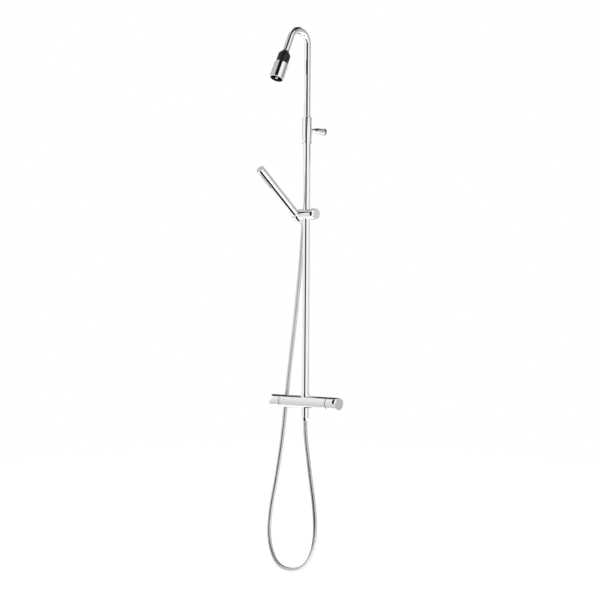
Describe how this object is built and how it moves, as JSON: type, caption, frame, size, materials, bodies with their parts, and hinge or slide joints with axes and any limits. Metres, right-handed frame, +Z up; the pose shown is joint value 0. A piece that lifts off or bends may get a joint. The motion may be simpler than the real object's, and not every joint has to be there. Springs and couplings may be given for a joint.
{
  "type": "rainfall shower column",
  "caption": "Wall-mounted shower column: bar mixer with end handles, riser with bracket, telescoping gooseneck with a small tilting head, sliding holder, stick hand shower and hose.",
  "frame": {"origin": "on the wall face, midway between the two water inlets, at the height of the mixer bar axis", "axes": "+X to the right as seen from the front, +Y into the wall along the inlet tails, +Z up the riser"},
  "size_m": [0.3431, 0.2699, 1.7759],
  "materials": {
    "chrome": "polished",
    "hose_metal": "polished spiral",
    "brass": "plain",
    "steel": "plain",
    "black_plastic": "satin",
    "grey_plastic": "plain",
    "silicone": "matt",
    "rubber": "matt"
  },
  "bodies": {
    "column": {"mixer_body": "chrome", "end_collar_left": "chrome", "end_collar_right": "chrome", "stop_ring_left": "black_plastic", "stop_ring_right": "black_plastic", "thermostatic_cartridge": "brass", "flow_cartridge": "grey_plastic", "union_nut_left": "chrome", "union_nut_right": "chrome", "inlet_gasket_left": "rubber", "inlet_gasket_right": "rubber", "wall_connector_left": "brass", "wall_connector_right": "brass", "check_valve_left": "grey_plastic", "check_valve_right": "grey_plastic", "lower_riser": "chrome", "riser_foot_collar": "chrome", "riser_foot_screw": "steel", "riser_seals": "rubber", "coupling_clamp_ring": "chrome", "riser_coupling": "chrome", "bracket_arm": "chrome", "bracket_arm_stud": "steel", "bracket_wall_pin": "steel", "bracket_grub_screw": "steel", "hose_nut_lower": "chrome", "hose_washer_lower": "rubber", "shower_hose": "hose_metal"},
    "collet": {"tube_collet": "grey_plastic"},
    "gooseneck": {"gooseneck_tube": "chrome", "telescope_piston": "grey_plastic", "ball_joint": "chrome"},
    "head_gimbal": {"ball_seat_ring": "grey_plastic"},
    "shower_head": {"head_cone": "black_plastic", "ball_seat_plug": "black_plastic", "head_shell": "chrome", "nozzle_plate": "black_plastic", "jet_nozzle": "chrome", "flow_diffuser": "grey_plastic", "plate_seal": "rubber"},
    "spray_selector": {"spray_ring": "black_plastic"},
    "slider_carriage": {"slider_bush": "grey_plastic"},
    "slider": {"slider_body": "chrome", "pivot_friction_ring": "rubber", "brake_pad": "grey_plastic"},
    "lock": {"lock_knob": "chrome", "lock_spindle": "brass"},
    "cradle": {"handset_cradle": "chrome"},
    "handset": {"handset_body": "chrome", "handset_spray_strip": "silicone", "hose_cone_nut": "chrome", "hose_washer_upper": "rubber"},
    "temperature_control": {"temperature_handle": "chrome", "temperature_spindle": "brass", "temperature_handle_screw": "steel", "temperature_handle_cap": "chrome"},
    "flow_control": {"flow_handle": "chrome", "flow_spindle": "brass", "flow_handle_screw": "steel", "flow_handle_cap": "chrome"}
  },
  "joints": [
    {"name": "gooseneck_swivel", "type": "hinge", "parent": "column", "child": "collet", "pos_m": [0, -0.08, 0.91], "axis": [0, 0, 1], "range_deg": [-90, 90]},
    {"name": "gooseneck_telescope", "type": "slide", "parent": "collet", "child": "gooseneck", "axis": [0, 0, 1], "range_m": [-0.15, 0.1]},
    {"name": "head_tilt", "type": "hinge", "parent": "gooseneck", "child": "head_gimbal", "pos_m": [0, -0.18652, 1.11294], "axis": [1, 0, 0], "range_deg": [-10, 10]},
    {"name": "head_side_tilt", "type": "hinge", "parent": "head_gimbal", "child": "shower_head", "pos_m": [0, -0.18652, 1.11294], "axis": [0, -0.9135, 0.4067], "range_deg": [-10, 10]},
    {"name": "spray_ring_turn", "type": "hinge", "parent": "shower_head", "child": "spray_selector", "pos_m": [0, -0.1914, 1.10198], "axis": [0, -0.4067, -0.9135], "range_deg": [-45, 45]},
    {"name": "slider_lift", "type": "slide", "parent": "column", "child": "slider_carriage", "axis": [0, 0, 1], "range_m": [-0.5, 0.2], "deforming": ["shower_hose"]},
    {"name": "slider_swivel", "type": "hinge", "parent": "slider_carriage", "child": "slider", "pos_m": [0, -0.08, 0.61], "axis": [0, 0, 1], "range_deg": [-60, 60], "deforming": ["shower_hose"]},
    {"name": "lock_knob_turn", "type": "hinge", "parent": "slider", "child": "lock", "pos_m": [0.033, -0.08, 0.61], "axis": [1, 0, 0], "range_deg": [0, 90]},
    {"name": "cradle_tilt", "type": "hinge", "parent": "slider", "child": "cradle", "pos_m": [-0.038, -0.08, 0.61], "axis": [1, 0, 0], "range_deg": [-35, 25], "deforming": ["shower_hose"]},
    {"name": "handset_lift", "type": "slide", "parent": "cradle", "child": "handset", "axis": [0, -0.766, 0.6428], "range_m": [0, 0.07], "deforming": ["shower_hose"]},
    {"name": "temperature_turn", "type": "hinge", "parent": "column", "child": "temperature_control", "pos_m": [-0.128, -0.08, 0], "axis": [1, 0, 0], "range_deg": [-120, 120]},
    {"name": "flow_turn", "type": "hinge", "parent": "column", "child": "flow_control", "pos_m": [0.128, -0.08, 0], "axis": [1, 0, 0], "range_deg": [-90, 90]}
  ]
}
